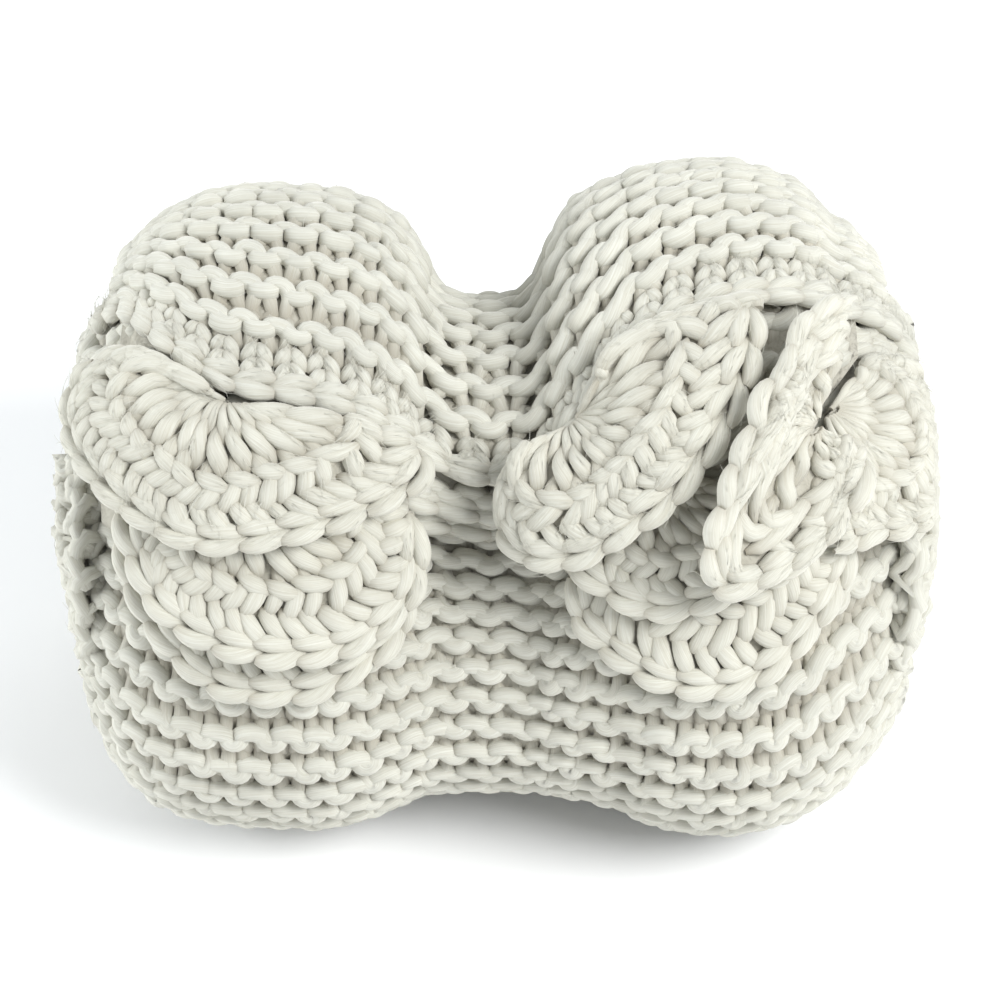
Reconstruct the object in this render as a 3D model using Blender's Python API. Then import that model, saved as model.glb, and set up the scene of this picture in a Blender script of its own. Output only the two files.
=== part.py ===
"""A chunky knit throw, folded in thirds and rolled up, with crocheted scallops along its outer end.

Metres, +Z up. The roll lies along X on the plane Z = 0. Its outer end, with the scallops, lies on
the upper front, towards -Y and +Z. The roll is drawn in a little left of its middle.

A place on the roll is given by a run, the distance along its outline from the left end's centre
to the right end's centre, and a turn, the angle round it: 0 at the upper back, 90 at the upper
front, 225 on the floor.
"""

import bmesh
import bpy
import numpy as np

MM = 0.001

# The roll's centre line, and the tilt of the plane in which its outline is measured
CENTRE = np.array([0.0052, -0.0034, 0.143])
TILT = np.radians(45)
RISE = np.array([0, np.sin(TILT), np.cos(TILT)])
FRONT = np.array([0, -np.cos(TILT), np.sin(TILT)])

# One row for each section across the roll, in mm: its place, and how far it reaches up the back
# (rise) and down the front (fall) from the centre line
PROFILE = np.array([
    # x, rise, fall
    (-209.0, 0, 0),
    (-207.5, 30, 34),
    (-204.0, 60, 68),
    (-197.0, 87, 100),
    (-185.0, 111, 126),
    (-165.0, 134, 145),
    (-141.0, 146, 153),
    (-115.0, 150, 156),
    (-90.0, 149, 156.5),
    (-68.0, 144, 152),
    (-50.0, 134, 145),
    (-40.0, 120, 141),
    (-33.0, 105, 139.5),
    (-24.0, 99, 139),
    (-10.0, 98, 139),
    (2.0, 100, 139),
    (9.0, 108, 139.5),
    (16.0, 124, 140),
    (28.0, 143, 142),
    (45.0, 152, 146),
    (68.0, 159, 155),
    (94.0, 161.5, 159.5),
    (118.0, 157, 157),
    (132.0, 151, 151.5),
    (140.0, 145, 148),
    (145.0, 138.5, 145),
    (158.0, 130, 134.5),
    (178.0, 104, 108),
    (189.0, 77, 81),
    (196.0, 45, 47),
    (199.0, 0, 0),
])
FRONT_SHARE = 0.985  # the front's reach, as a share of the mean of rise and fall
BACK_SHARE = 0.93  # the back's reach, likewise

# The knit: one garter ridge for each two rows, and the thirds that lie on each other
RIDGE_PITCH = 0.022
RIDGE_DEPTH = 0.0035
LAYER = 0.011
LAYERS = 3
WOUND_PITCH = 0.044  # the strip's thickness in the roll, as its ends show it
GROOVE_DEPTH = 0.012  # of the spiral between two turns at an end
WAIST = 0.12  # how far to each side of the middle of the runs there is no end
END_STARTS = (-0.165, 0.158)  # where the roll's ends start
END_COLUMNS = 17  # of corners on an end, and how many of them have one row in three
SPARSE_COLUMNS = 8
LEAST_SPACING = 0.0115  # between two columns elsewhere
DOME_RADIUS = (0.075, 0.115)  # ridges and steps fade out between these radii on an end

# Where the cloth's outer end lies, as turns: one row for each place along X in mm, with the edge
# of the outer third and that of the middle third
EDGES = np.array([
    # x, outer, middle
    (-209, 25, 66),
    (-200, 32, 70),
    (-176, 47, 76),
    (-151, 61, 82),
    (-120, 70, 85),
    (-94, 72, 85.5),
    (-65, 74, 87),
    (-43, 78, 90),
    (-25, 83, 92.5),
    (-10, 85, 94),
    (5, 84, 94),
    (19, 78, 91.5),
    (31, 73, 88.5),
    (52, 62, 86),
    (86, 57, 82),
    (118, 54, 76),
    (131, 53, 71),
    (142, 52, 62),
    (155, 50, 56),
    (175, 46, 50.5),
    (199, 42, 46),
])
INNER_EDGE = 5.0  # the inner third ends this many degrees past the middle one
EDGE_CLEARANCE = 2.75  # and a scallop keeps this many degrees off the edge that it grows from
EDGE_MIDDLE = 68.5  # the outer edge's turn on the left bulge
RELAXED = -10.0  # the turn at which the rows run straight again, at the top
BASE_START = 95.0  # the previous turn of cloth shows from about here
BASE_RELAXED = 160.0
FADE = (100.0, 185.0)  # the step at the outer end has flattened out between these turns

# The crochet: sheets of long stitches, a little apart from each other and from the roll
SHEET = 0.0082
GAP = 0.0009
SPOKE_RELIEF = 0.0017
RIM_RELIEF = 0.0019
RING_SHARES = (0.0, 0.22, 0.46, 0.68, 0.88, 1.0)

# Each scallop: the edge that it grows from, its centre's x in mm, the number of long stitches
# shown, its crown in mm, and a row for each ray: its angle from +X towards the floor, its reach
# in mm, and its lift in mm above the cloth under all three thirds. A row of edge None gives
# the centre's turn and lift.
SCALLOPS = {
    "scallop_left_outer": dict(edge="outer", x=-120, stitches=21, crown=4, rays=[
        (12, 80, 23),
        (27, 88, 23),
        (44, 80, 23),
        (60, 74, 23.2),
        (80, 71, 23.4),
        (98, 72, 23.2),
        (128, 68, 22.9),
        (145, 68, 22),
        (160, 71, 19),
        (182, 75, 18),
        (196, 70, 20),
        (209, 48, 23),
        (226, 26, 23),
    ]),
    "scallop_left_middle": dict(edge="middle", x=-110, stitches=19, crown=0, rays=[
        (5, 68, 11.9),
        (21, 74, 11.9),
        (48, 92, 11.9),
        (60, 91, 12.2),
        (76, 86, 12.4),
        (98, 81, 12.2),
        (119, 77, 11.9),
        (145, 64, 11.9),
        (176, 56, 11.9),
    ]),
    "scallop_left_inner": dict(edge="inner", x=-110, stitches=19, crown=0, rays=[
        (5, 64, 0.9),
        (25, 72, 0.9),
        (48, 92, 0.9),
        (70, 91, 0.9),
        (85, 89, 0.9),
        (103, 87, 0.9),
        (122, 79, 0.9),
        (139, 73, 0.9),
        (157, 68, 0.9),
        (175, 62, 0.9),
    ]),
    "scallop_right_outer": dict(edge="outer", x=31, stitches=19, crown=9, rays=[
        (-50, 38, 30),
        (-40, 58, 31),
        (-28, 84, 32),
        (-18, 79, 33),
        (-4, 71, 34),
        (12, 65, 34),
        (33, 60, 34),
        (51, 59, 33),
        (70, 60, 32),
        (88, 66, 31),
        (100, 69, 30),
        (112, 64, 30),
        (123, 50, 30),
        (131, 30, 29),
    ]),
    "scallop_right_cupped": dict(edge=None, x=123, turn=78, lift=28, stitches=19, crown=-2, rays=[
        (-77, 57, 42),
        (-100, 36, 46),
        (-135, 20, 48),
        (-190, 24, 50),
        (-222, 45, 50),
        (-233, 66, 46),
        (-243, 79, 40),
        (-255, 67, 33),
        (-272, 51, 29),
        (-292, 36, 27),
        (-333, 22, 27),
    ]),
    "scallop_right_middle": dict(edge="middle", x=66, stitches=17, crown=0, rays=[
        (8, 60, 11.9),
        (29, 70, 11.9),
        (52, 62, 12.2),
        (70, 61, 12.4),
        (90, 63, 12.4),
        (112, 62, 12.2),
        (131, 60, 11.9),
        (150, 54, 11.9),
        (172, 42, 11.9),
    ]),
    "scallop_right_side": dict(edge="middle", x=131, stitches=19, crown=3, rays=[
        (-56, 58, 12.5),
        (-34, 66, 13),
        (-7, 76, 14),
        (12, 85, 15),
        (34, 86, 15),
        (55, 75, 12.6),
        (72, 66, 11.9),
        (88, 67, 11.9),
    ]),
    "scallop_right_inner": dict(edge="inner", x=89, stitches=21, crown=0, rays=[
        (5, 50, 0.9),
        (30, 70, 0.9),
        (41, 75, 0.9),
        (60, 82, 0.9),
        (74, 90, 0.9),
        (90, 96, 0.9),
        (105, 98, 0.9),
        (119, 98, 0.9),
        (130, 96, 0.9),
        (141, 84, 0.9),
        (157, 70, 0.9),
        (175, 54, 0.9),
    ]),
}

YARN_COLOUR = (0.80, 0.75, 0.64, 1)
YARN_ROUGHNESS = 0.9


def eased(value, low, high):
    """0 below low, 1 above high, and a smooth rise between them."""
    share = np.clip((np.asarray(value, float) - low) / (high - low), 0, 1)
    return share * share * (3 - 2 * share)


def curve(knots, values, at):
    """Values at the places at, on a smooth curve through the knots that never overshoots them."""
    knots, values, at = (np.asarray(a, float) for a in (knots, values, at))
    width = np.diff(knots)
    slope = np.diff(values) / width
    before, after = slope[:-1], slope[1:]
    inner = np.where(before * after > 0, 2 * before * after / (before + after + 1e-12), 0)
    tangent = np.concatenate([slope[:1], inner, slope[-1:]])
    k = np.clip(np.searchsorted(knots, at) - 1, 0, len(width) - 1)
    t = np.clip((at - knots[k]) / width[k], 0, 1)
    start = (1 + 2 * t) * (1 - t) ** 2 * values[k] + t * (1 - t) ** 2 * width[k] * tangent[k]
    end = t * t * (3 - 2 * t) * values[k + 1] + t * t * (t - 1) * width[k] * tangent[k + 1]
    return start + end


X, RISES, FALLS = PROFILE.T * MM
RUNS = np.concatenate([[0], np.cumsum(np.hypot(np.diff(X), np.diff((RISES + FALLS) / 2)))])


def run_at(x):
    """The run at which the outline passes a place along X."""
    fine = np.linspace(0, RUNS[-1], 2000)
    return np.interp(x, curve(RUNS, X, fine), fine)


def outline(run, turn):
    """(x, radius) of the smooth outer surface, in metres."""
    rise, fall = curve(RUNS, RISES, run), curve(RUNS, FALLS, run)
    mean = (rise + fall) / 2
    angle = np.radians(turn)
    up = np.where(np.cos(angle) > 0, rise, fall)
    out = np.where(np.sin(angle) > 0, FRONT_SHARE * mean, BACK_SHARE * mean)
    radius = 1 / np.hypot(np.cos(angle) / np.maximum(up, 1e-7), np.sin(angle) / np.maximum(out, 1e-7))
    return curve(RUNS, X, run), radius


def fading(turn):
    """How much of the step at the outer end is left: 1 at the end itself, 0 round at the floor."""
    return 1 - eased(np.mod(turn, 360), *FADE)


def edge(name, run):
    """The turn at which a third of the cloth ends."""
    x = curve(RUNS, X, run) / MM
    if name == "outer":
        return curve(EDGES[:, 0], EDGES[:, 1], x)
    middle = curve(EDGES[:, 0], EDGES[:, 2], x)
    return middle if name == "middle" else middle + INNER_EDGE


def past(turn, limit):
    """The turn itself, or where that lies short of the limit a place just past it."""
    gap = turn - limit
    near = EDGE_CLEARANCE * (1 + np.exp(np.minimum(gap / EDGE_CLEARANCE - 2, 0)))
    return limit + np.where(gap > 2 * EDGE_CLEARANCE, gap, near)


def spiral_groove(radius, full, turn):
    """How deep the groove between two turns of the roll is at a place on its end."""
    depth = (1 - radius / full) * np.max(RISES)
    phase = depth / WOUND_PITCH - (EDGE_MIDDLE - turn) / 360
    return GROOVE_DEPTH * (1 - np.abs(np.sin(np.pi * phase))) * eased(phase, 0.6, 1.0)


def place(x, radius, turn):
    """The point at that x, radius and turn, kept above the floor."""
    angle = np.radians(turn)[..., None]
    radius, x = np.asarray(radius)[..., None], np.asarray(x)[..., None]
    point = CENTRE + x * np.array([1, 0, 0]) + radius * (np.cos(angle) * RISE + np.sin(angle) * FRONT)
    point[..., 2] = np.maximum(point[..., 2], 0)
    return point


def cloth(run, turn, below, relief=0.0):
    """A point on the cloth, so many thirds below the outer surface."""
    x, radius = outline(run, turn)
    full = eased(radius, *DOME_RADIUS)
    return place(x, radius - full * (below * LAYER + relief), turn)


def seat(run, turn, lift):
    """A point so far above the previous turn of cloth, square to it."""
    def under(r, t):
        return cloth(r, t, LAYERS * fading(t))
    point = under(run, turn)
    along = under(run + 2 * MM, turn) - under(run - 2 * MM, turn)
    across = under(run, turn + 1) - under(run, turn - 1)
    square = np.cross(across, along)
    square /= np.linalg.norm(square, axis=-1, keepdims=True)
    angle = np.radians(turn)[..., None]
    outward = np.cos(angle) * RISE + np.sin(angle) * FRONT
    square += outward
    square /= np.linalg.norm(square, axis=-1, keepdims=True)
    return point + np.asarray(lift)[..., None] * square


def row_lines(run):
    """The lines that run along the roll, a hollow and the two sides of a ridge in turn, from the
    outer edge back round the roll and up the steps again: for each one its turns along run, how
    many thirds it lies below the outer surface, and its relief."""
    outer, middle, inner = (edge(name, run) for name in ("outer", "middle", "inner"))
    spacing = np.degrees(RIDGE_PITCH / 3 / np.max(RISES))
    count = round((EDGE_MIDDLE + 360 - BASE_START) / spacing)
    lines = []
    for k in range(count):
        nominal = EDGE_MIDDLE - k * spacing
        pull = eased(nominal, RELAXED, EDGE_MIDDLE) * (outer - EDGE_MIDDLE)
        hold = eased(-nominal, 360 - BASE_RELAXED, 360 - BASE_START) * (inner - BASE_START + 1.5)
        turn = nominal + pull + hold
        relief = RIDGE_DEPTH if k % 3 == 0 else 0.0
        lines.append((turn, LAYERS * fading(turn) if nominal < -90 else 0 * turn, relief))
    lines.append((inner - 359.6, LAYERS + 0 * inner, 0.0))
    lines.append((inner - 360.2, LAYERS - 1 + 0 * inner, 0.0))
    lines.append((middle - 359.6, LAYERS - 1 + 0 * inner, 0.0))
    steps = 5
    for k in range(steps):
        share = k / steps
        lines.append((middle - 360.2 + share * (outer - middle + 0.8), LAYERS - 2 + 0 * inner,
                      (k % 2) * RIDGE_DEPTH))
    lines.append((outer - 359.6, LAYERS - 2 + 0 * inner, 0.0))
    return lines


def yarn_material(name, shade):
    """Undyed yarn, a little lighter or darker."""
    material = bpy.data.materials.new(name)
    material.use_nodes = True
    shader = material.node_tree.nodes["Principled BSDF"]
    shader.inputs["Base Color"].default_value = [c * shade for c in YARN_COLOUR[:3]] + [1]
    shader.inputs["Roughness"].default_value = YARN_ROUGHNESS
    shader.inputs["Metallic"].default_value = 0.0
    return material


def bend_grid(bm, points):
    """Makes a grid and lays its corners on the points, an array of rows and columns."""
    rows, columns = points.shape[:2]
    slot = bm.verts.layers.int.new("slot")
    grid = bmesh.ops.create_grid(bm, x_segments=columns - 1, y_segments=rows - 1, size=1)
    corners = sorted(grid["verts"], key=lambda v: (round(v.co.y, 5), round(v.co.x, 5)))
    for k, (corner, point) in enumerate(zip(corners, points.reshape(-1, 3))):
        corner.co = point
        corner[slot] = k
    return slot


def finish(bm, name, shade):
    """Turns the finished shape into an object with its own material."""
    bmesh.ops.recalc_face_normals(bm, faces=bm.faces)
    mesh = bpy.data.meshes.new(name)
    bm.to_mesh(mesh)
    bm.free()
    mesh.materials.append(yarn_material(f"{name}_yarn", shade))
    part = bpy.data.objects.new(name, mesh)
    bpy.context.scene.collection.objects.link(part)
    return part


def roll():
    """The whole throw but for its scallops: one wound form with its ridges and spiral ends."""
    left_end, right_end = (float(run_at(x)) for x in END_STARTS)
    runs = list(np.linspace(0, left_end, END_COLUMNS))
    for run in RUNS:
        if runs[-1] + LEAST_SPACING < run < right_end - LEAST_SPACING:
            runs.append(run)
    runs = np.concatenate([runs, np.linspace(right_end, RUNS[-1], END_COLUMNS)])
    from_middle = RUNS[-1] / 2 - runs
    inwards = np.where(np.abs(from_middle) > WAIST, np.sign(from_middle), 0)
    rings = []
    for turn, below, relief in row_lines(runs):
        x, radius = outline(runs, turn)
        full = eased(radius, *DOME_RADIUS)
        crest = outline(np.full_like(runs, run_at(-0.09)), turn)[1]
        inward = spiral_groove(radius, crest, turn) * inwards
        rings.append(place(x + inward, radius - full * (below * LAYER + relief), turn))
    rings.append(rings[0])
    points = np.array(rings)
    kept = np.arange(len(points)) // 3 * 3
    for sparse in (slice(None, SPARSE_COLUMNS), slice(-SPARSE_COLUMNS, None)):
        points[:, sparse] = points[kept, sparse]
    points[-1] = points[0]
    points[:, 0] = points[0, 0]
    points[:, -1] = points[0, -1]
    bm = bmesh.new()
    bend_grid(bm, points)
    bmesh.ops.remove_doubles(bm, verts=bm.verts, dist=2e-6)
    return finish(bm, "throw_roll", 1.0)


def scallop(name, edge_name, x, stitches, crown, rays, turn=None, lift=None, shade=1.0):
    """One fan of long stitches round its centre, with a raised rim, as a sheet of even thickness."""
    angles, reaches, lifts = np.array(rays, float).T
    order = np.argsort(angles)
    centre_run = run_at(x * MM)
    if edge_name is None:
        centre_turn, centre_lift = turn, lift * MM
    else:
        centre_turn = float(edge(edge_name, centre_run)) + 0.9
        centre_lift = ("inner", "middle", "outer").index(edge_name) * LAYER + GAP
    ray = np.linspace(angles.min(), angles.max(), 2 * stitches + 1)
    reach = curve(angles[order], reaches[order], ray) * MM
    rim_lift = curve(angles[order], lifts[order], ray) * MM
    share = np.array(RING_SHARES)[None, :]
    centre = seat(np.array(centre_run), np.array(centre_turn), np.array(centre_lift + SHEET))
    round_the_roll = np.linalg.norm((centre - CENTRE)[1:])
    along = share * (reach * np.cos(np.radians(ray)))[:, None]
    across = share * (reach * np.sin(np.radians(ray)))[:, None]
    runs = centre_run + along
    turns = centre_turn + np.degrees(across / round_the_roll)
    if edge_name:
        turns = past(turns, edge(edge_name, runs))
    height = centre_lift + (rim_lift[:, None] - centre_lift) * eased(share, 0, 1)
    height = height + crown * MM * np.sin(np.pi * share)
    raised = (np.arange(len(ray)) % 2)[:, None] * SPOKE_RELIEF * np.sin(np.pi * np.minimum(share / 0.88, 1))
    raised = raised + RIM_RELIEF * eased(share, 0.8, 1)
    under = seat(runs, turns, height)
    upper = seat(runs, turns, height + SHEET + raised)
    bm = bmesh.new()
    slot = bend_grid(bm, under)
    bmesh.ops.remove_doubles(bm, verts=bm.verts, dist=2e-6)
    extruded = bmesh.ops.extrude_face_region(bm, geom=bm.faces[:])
    upper = upper.reshape(-1, 3)
    for item in extruded["geom"]:
        if isinstance(item, bmesh.types.BMVert):
            item.co = upper[item[slot]]
    return finish(bm, name, shade)


def main():
    for old in list(bpy.data.objects):
        bpy.data.objects.remove(old)
    roll()
    for k, (name, form) in enumerate(SCALLOPS.items()):
        form = dict(form)
        scallop(name, form.pop("edge"), shade=1.0 - 0.02 * (k % 3), **form)


main()
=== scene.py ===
"""Looks of a chunky knit throw, folded in thirds and rolled up, with crocheted scallops on its end.

The yarn is real: every knit row is a strand of loops that lies on the roll, and every scallop is
worked from tapered strands. Metres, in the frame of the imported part: X along the roll, Z up, the
outer end of the cloth on the upper front, towards -Y and +Z.

A place on the roll is given by a run, the distance along its outline from the left end's centre
to the right end's centre, and a turn, the angle round it: 0 at the upper back, 90 at the upper
front, 225 on the floor.
"""

import bpy
import numpy as np
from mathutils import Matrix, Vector


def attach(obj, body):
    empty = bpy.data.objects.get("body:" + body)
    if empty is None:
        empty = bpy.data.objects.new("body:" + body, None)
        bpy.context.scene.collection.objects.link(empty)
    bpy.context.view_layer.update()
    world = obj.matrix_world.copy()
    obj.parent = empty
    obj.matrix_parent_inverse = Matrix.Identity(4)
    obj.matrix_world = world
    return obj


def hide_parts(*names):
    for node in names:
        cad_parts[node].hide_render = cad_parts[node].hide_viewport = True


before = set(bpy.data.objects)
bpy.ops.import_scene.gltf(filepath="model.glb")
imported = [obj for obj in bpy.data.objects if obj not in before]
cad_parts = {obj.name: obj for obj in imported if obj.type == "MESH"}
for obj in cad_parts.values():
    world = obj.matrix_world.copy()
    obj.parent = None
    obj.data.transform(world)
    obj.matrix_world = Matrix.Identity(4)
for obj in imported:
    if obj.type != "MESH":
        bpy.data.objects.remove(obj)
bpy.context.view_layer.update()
RNG = np.random.default_rng(7)
MM = 0.001

# The roll's centre line, and the tilt of the plane in which its outline is measured
CENTRE = np.array([0.0052, -0.0034, 0.143])
TILT = np.radians(45)
RISE = np.array([0, np.sin(TILT), np.cos(TILT)])
FRONT = np.array([0, -np.cos(TILT), np.sin(TILT)])

# One row for each section across the roll, in mm: its place, and how far it reaches up the back
# (rise) and down the front (fall) from the centre line
PROFILE = np.array([
    # x, rise, fall
    (-209.0, 0, 0),
    (-207.5, 30, 34),
    (-204.0, 60, 68),
    (-197.0, 87, 100),
    (-185.0, 111, 126),
    (-165.0, 134, 145),
    (-141.0, 146, 153),
    (-115.0, 150, 156),
    (-90.0, 149, 156.5),
    (-68.0, 144, 152),
    (-50.0, 134, 145),
    (-40.0, 120, 141),
    (-33.0, 105, 139.5),
    (-24.0, 99, 139),
    (-10.0, 98, 139),
    (2.0, 100, 139),
    (9.0, 108, 139.5),
    (16.0, 124, 140),
    (28.0, 143, 142),
    (45.0, 152, 146),
    (68.0, 159, 155),
    (94.0, 161.5, 159.5),
    (118.0, 157, 157),
    (132.0, 151, 151.5),
    (140.0, 145, 148),
    (145.0, 138.5, 145),
    (158.0, 130, 134.5),
    (178.0, 104, 108),
    (189.0, 77, 81),
    (196.0, 45, 47),
    (199.0, 0, 0),
])
FRONT_SHARE = 0.985
BACK_SHARE = 0.93

# The knit and its thirds, as in the solids, in metres and degrees
RIDGE_PITCH = 0.022
LAYER = 0.011
LAYERS = 3
WOUND_PITCH = 0.044  # from one turn of the cloth to the next
GROOVE_DEPTH = 0.012
WAIST = 0.12  # run each side of the middle that has no grooves
DOME_RADIUS = (0.075, 0.115)  # over which the step grows towards the bulges

# The turns at which the outer and the middle third end, at each x in mm
EDGES = np.array([
    # x, outer, middle
    (-209, 25, 66),
    (-200, 32, 70),
    (-176, 47, 76),
    (-151, 61, 82),
    (-120, 70, 85),
    (-94, 72, 85.5),
    (-65, 74, 87),
    (-43, 78, 90),
    (-25, 83, 92.5),
    (-10, 85, 94),
    (5, 84, 94),
    (19, 78, 91.5),
    (31, 73, 88.5),
    (52, 62, 86),
    (86, 57, 82),
    (118, 54, 76),
    (131, 53, 71),
    (142, 52, 62),
    (155, 50, 56),
    (175, 46, 50.5),
    (199, 42, 46),
])
INNER_EDGE = 5.0  # past the middle one
EDGE_CLEARANCE = 2.75
EDGE_MIDDLE = 68.5  # the outer edge's mean turn
RELAXED = -10.0  # turn back from the edges at which rows run straight
BASE_START = 95.0  # turn of the first row past the edges
BASE_RELAXED = 160.0  # turn past the edges at which rows run straight
FADE = (100.0, 185.0)  # turns between which the step fades
SHEET = 0.0082
GAP = 0.0009
THIRDS = ("outer", "middle", "inner")

# Each scallop, as in the solids, with the number of its long stitches: its centre, how far its
# middle bulges, and for each ray its angle, its reach and the rim's lift, in mm and degrees
SCALLOPS = {
    "scallop_left_outer": dict(edge="outer", x=-120, posts=14, crown=4, rays=[
        (12, 80, 23),
        (27, 88, 23),
        (44, 80, 23),
        (60, 74, 23.2),
        (80, 71, 23.4),
        (98, 72, 23.2),
        (128, 68, 22.9),
        (145, 68, 22),
        (160, 71, 19),
        (182, 75, 18),
        (196, 70, 20),
        (209, 48, 23),
        (226, 26, 23),
    ]),
    "scallop_left_middle": dict(edge="middle", x=-110, posts=13, crown=0, rays=[
        (5, 68, 11.9),
        (21, 74, 11.9),
        (48, 92, 11.9),
        (60, 91, 12.2),
        (76, 86, 12.4),
        (98, 81, 12.2),
        (119, 77, 11.9),
        (145, 64, 11.9),
        (176, 56, 11.9),
    ]),
    "scallop_left_inner": dict(edge="inner", x=-110, posts=13, crown=0, rays=[
        (5, 64, 0.9),
        (25, 72, 0.9),
        (48, 92, 0.9),
        (70, 91, 0.9),
        (85, 89, 0.9),
        (103, 87, 0.9),
        (122, 79, 0.9),
        (139, 73, 0.9),
        (157, 68, 0.9),
        (175, 62, 0.9),
    ]),
    "scallop_right_outer": dict(edge="outer", x=31, posts=12, crown=9, rays=[
        (-50, 38, 30),
        (-40, 58, 31),
        (-28, 84, 32),
        (-18, 79, 33),
        (-4, 71, 34),
        (12, 65, 34),
        (33, 60, 34),
        (51, 59, 33),
        (70, 60, 32),
        (88, 66, 31),
        (100, 69, 30),
        (112, 64, 30),
        (123, 50, 30),
        (131, 30, 29),
    ]),
    "scallop_right_cupped": dict(edge=None, x=123, turn=78, lift=28, posts=11, crown=-2, rays=[
        (-77, 57, 42),
        (-100, 36, 46),
        (-135, 20, 48),
        (-190, 24, 50),
        (-222, 45, 50),
        (-233, 66, 46),
        (-243, 79, 40),
        (-255, 67, 33),
        (-272, 51, 29),
        (-292, 36, 27),
        (-333, 22, 27),
    ]),
    "scallop_right_middle": dict(edge="middle", x=66, posts=11, crown=0, rays=[
        (8, 60, 11.9),
        (29, 70, 11.9),
        (52, 62, 12.2),
        (70, 61, 12.4),
        (90, 63, 12.4),
        (112, 62, 12.2),
        (131, 60, 11.9),
        (150, 54, 11.9),
        (172, 42, 11.9),
    ]),
    "scallop_right_side": dict(edge="middle", x=131, posts=11, crown=3, rays=[
        (-56, 58, 12.5),
        (-34, 66, 13),
        (-7, 76, 14),
        (12, 85, 15),
        (34, 86, 15),
        (55, 75, 12.6),
        (72, 66, 11.9),
        (88, 67, 11.9),
    ]),
    "scallop_right_inner": dict(edge="inner", x=89, posts=14, crown=0, rays=[
        (5, 50, 0.9),
        (30, 70, 0.9),
        (41, 75, 0.9),
        (60, 82, 0.9),
        (74, 90, 0.9),
        (90, 96, 0.9),
        (105, 98, 0.9),
        (119, 98, 0.9),
        (130, 96, 0.9),
        (141, 84, 0.9),
        (157, 70, 0.9),
        (175, 54, 0.9),
    ]),
}

# The stitches of the knit, in mm
STITCH = 15.5  # wide
LOOP_HEIGHTS = (9.3, 8.2)  # from a knit and a purl row's middle line to the top of its loops
LOOP_BULGES = (2.9, 1.9)  # how far their loops spread sideways
LOOP_SLANTS = (2.5, 1.0)  # how strongly they slant, times the values in SLANTS
KNIT_DEPTH = 3.9  # how far a strand weaves in and out
KNIT_FORWARD = 0.86  # and a knit row's share of that
STRAND = 4.4  # radius of a strand where it bulges to the front
TIGHT = 3.6  # and where it is drawn through a loop
KNIT_SWELL = 0.8  # a knit row's share of the difference
SINK = STRAND + KNIT_DEPTH + 0.2  # the strands' middle level below the outline
SHORTEST = 6  # points in a strand
SIDES = 6  # of a strand of the knit
ROUND_SIDES = 8  # of a strand of the crochet
FIBRE_SIDES = 4

# How far the knit strays from its regular form: shares of a size, and in mm
UNEVEN_SIZE = 0.06
UNEVEN_BULGE = 0.10
UNEVEN_SLANT = 0.10
STRAY_ALONG = 0.7
STRAY_ACROSS = 0.6
STRAY_DEPTH = 0.25

# The rows of the knit, in metres where nothing else is said
HALF_ROW = 0.30
ROW_MARGIN = 0.02  # how far from the middle of an end a row stops
CREASE_RINGS = (0.08, 0.14)  # the radius of the roll over which creases darken
ROW_GROUPS = 5
LOWERED = -90.0  # turn beyond which a row follows the step at the outer end
THICKEST = (-0.09, 0.094)  # x at which the left and right bulges are thickest
CAST_OFF_SPAN = (-0.17, 0.172)  # x between which the outer edge has its end row
CHAIN_SPAN = (-0.195, 0.188)  # x between which the edges have their chains
STEP_RIDGES = 5  # ridges that show on the middle third
TURN_WIDTH = 58.0  # of one turn of cloth across an end, in mm
END_SLANT = 0.1  # of the loops there
INNERMOST = 0.010  # radius at which rows stop there
GROOVE_MARGIN = 0.03  # how far rows go past the groove between two turns, over a turn

# The end row's V stitches, in mm
VEE_SPREAD = 6.6
VEE_HEIGHT = 11.0
VEE_TIER = 9.0
VEE_RADIUS = 3.8
EDGE_INSET = 2.5  # of the chain along an edge
EDGE_RISE = 1.5  # of the chain above the rows

# The crochet: shares of a scallop's reach, and sizes in mm
POST_START, POST_END = 0.07, 0.57  # of a long stitch
POST_TWIST = 2.3  # half turns of its two strands round each other
HEAD_LENGTH = 11.0
HEAD_RADIUS = 4.1
SHORT_ROWS = ((0.57, 0.77, 1.25), (0.71, 0.91, -1.15))  # start, end and lean over their width
SHORT_WIDTH = 7.4
SHORT_RADIUS = 4.3
RIM = 0.925
LINK = 17.5
LINK_RADIUS = 4.1
LEVEL = 4.6  # the strands' middle level above a scallop's under side

# The sheet under a scallop's yarn
SHEET_INSET = 0.16  # at its first and last ray, over the width of a long stitch
SHEET_REACH = (0.02, 0.95)
SHEET_LEVEL = 2.6  # in mm, above a scallop's under side
SHEET_THICKNESS = 0.0022

# Loose fibres, in mm
LOOSE = 3600  # how many
LOOSE_LENGTH = (5, 12)
LOOSE_LIFT = (0.3, 2.2)
LOOSE_BEND = 2.0
LOOSE_RADIUS = 0.13
LOOSE_TAPER = 0.08  # how much thinner the tip is
LOOSE_DEPTH = 7.5  # below the outline, where they stop growing
LOOSE_ENDS = 170  # x past which they grow at any depth

# The throw's cloth, flat and rolled, in metres
TURNS = 3.1  # before the inner end
CLOTH_THICKNESS = 0.007
COVER = 0.0122  # the yarn's thickness over the cloth's middle
CLOTH_STEP = 6.0  # degrees from one row of its points to the next
CLOTH_PASS = 18  # points across each third
CLOTH_CRESTS = (-0.115, 0.094)  # x at which each end starts to round off
FOLD_INSET = 0.013  # of the folds from the roll's ends
INNER_INSET = 0.010  # of the inner turns' folds from the outermost's
FOLD_REACH = 0.004  # how far a fold stands out
STEP_BACK = 328  # degrees from the outer end at which the cloth goes under its first turn

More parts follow.
